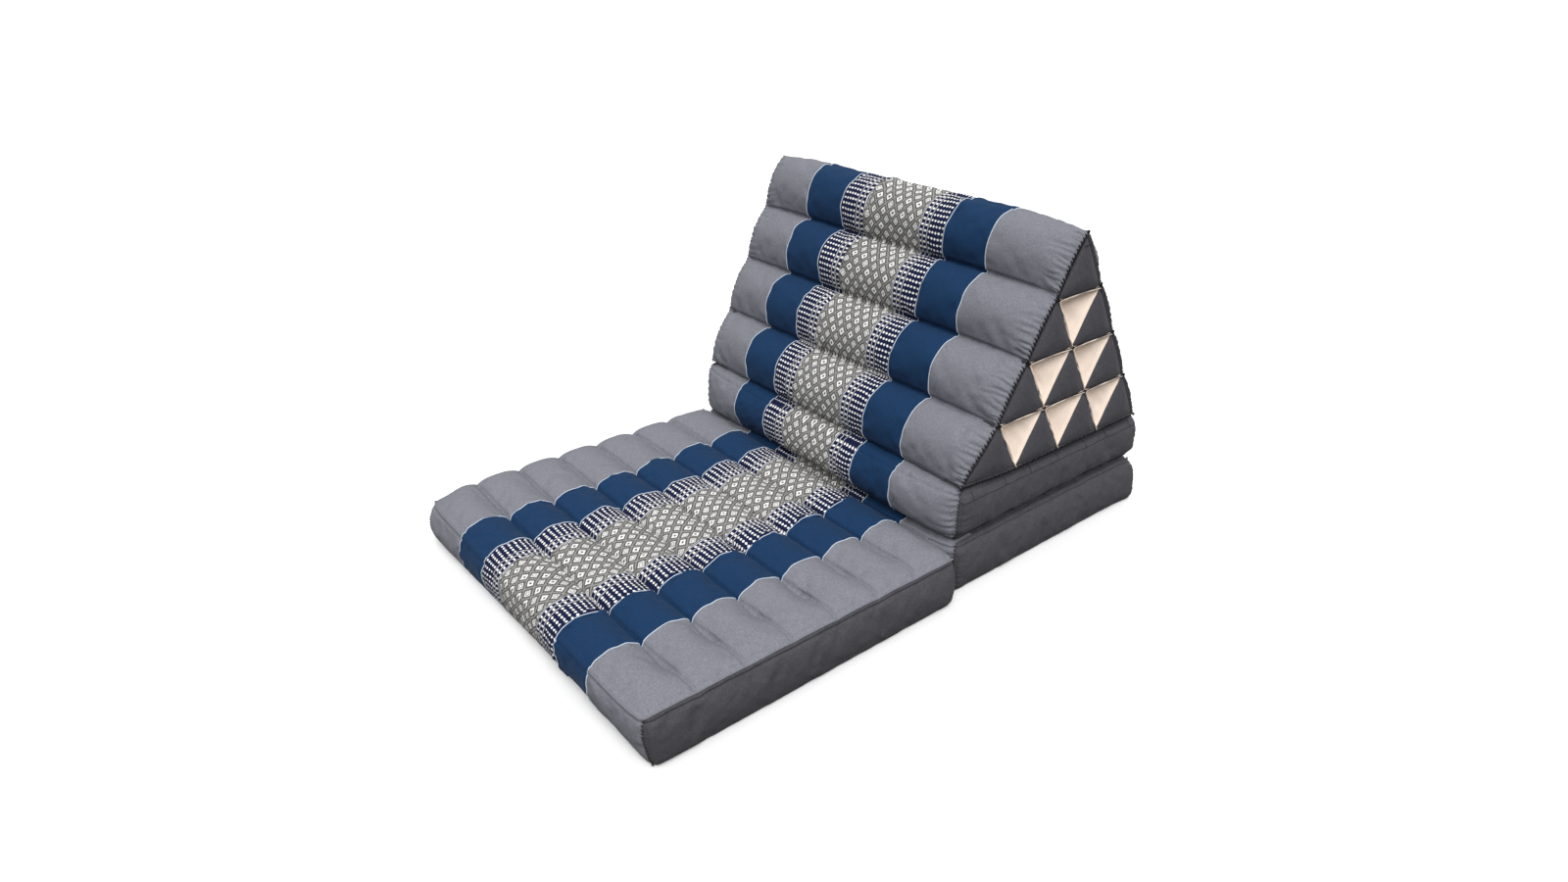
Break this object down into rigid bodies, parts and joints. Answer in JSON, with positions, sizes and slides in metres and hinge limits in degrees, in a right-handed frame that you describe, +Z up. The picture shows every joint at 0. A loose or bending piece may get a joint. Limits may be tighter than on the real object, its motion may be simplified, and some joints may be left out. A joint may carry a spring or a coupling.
{
  "type": "fold-out triangle cushion",
  "caption": "Fold-out floor seat: a channelled seat pad, two stacked pads behind it and a filled triangle backrest with long rolls and small triangular end caps and pockets.",
  "frame": {"origin": "middle of the whole part's outer box, on the floor", "axes": "+Z up, -Y towards the front of the seat pad, +X to the sitter's left, the side whose end panel the picture shows"},
  "size_m": [0.569, 0.842, 0.4347],
  "materials": {
    "patterned_cover": "plain-weave cotton in grey and blue bands with woven diamonds and beaded stripes",
    "charcoal_cover": "plain-weave charcoal cotton",
    "undyed_cotton": "undyed plain cotton, softly creased",
    "piping_cotton": "thin pale cotton piping",
    "black_thread": "waxed black cotton thread"
  },
  "bodies": {
    "root": {"seat_pad": "patterned_cover", "lower_pad": "patterned_cover", "upper_pad": "patterned_cover", "bolster": "patterned_cover", "hinge_seat": "patterned_cover", "hinge_front": "patterned_cover", "hinge_back": "charcoal_cover", "cap_right_1_1": "charcoal_cover", "cap_right_2_1": "charcoal_cover", "cap_right_2_2": "charcoal_cover", "cap_right_3_1": "charcoal_cover", "cap_right_3_2": "charcoal_cover", "cap_right_3_3": "charcoal_cover", "cap_right_4_1": "charcoal_cover", "cap_right_4_2": "charcoal_cover", "cap_right_4_3": "charcoal_cover", "cap_right_4_4": "charcoal_cover", "pocket_right_2_1": "undyed_cotton", "pocket_right_3_1": "undyed_cotton", "pocket_right_3_2": "undyed_cotton", "pocket_right_4_1": "undyed_cotton", "pocket_right_4_2": "undyed_cotton", "pocket_right_4_3": "undyed_cotton", "cap_left_1_1": "charcoal_cover", "cap_left_2_1": "charcoal_cover", "cap_left_2_2": "charcoal_cover", "cap_left_3_1": "charcoal_cover", "cap_left_3_2": "charcoal_cover", "cap_left_3_3": "charcoal_cover", "cap_left_4_1": "charcoal_cover", "cap_left_4_2": "charcoal_cover", "cap_left_4_3": "charcoal_cover", "cap_left_4_4": "charcoal_cover", "pocket_left_2_1": "undyed_cotton", "pocket_left_3_1": "undyed_cotton", "pocket_left_3_2": "undyed_cotton", "pocket_left_4_1": "undyed_cotton", "pocket_left_4_2": "undyed_cotton", "pocket_left_4_3": "undyed_cotton"}
  },
  "joints": []
}
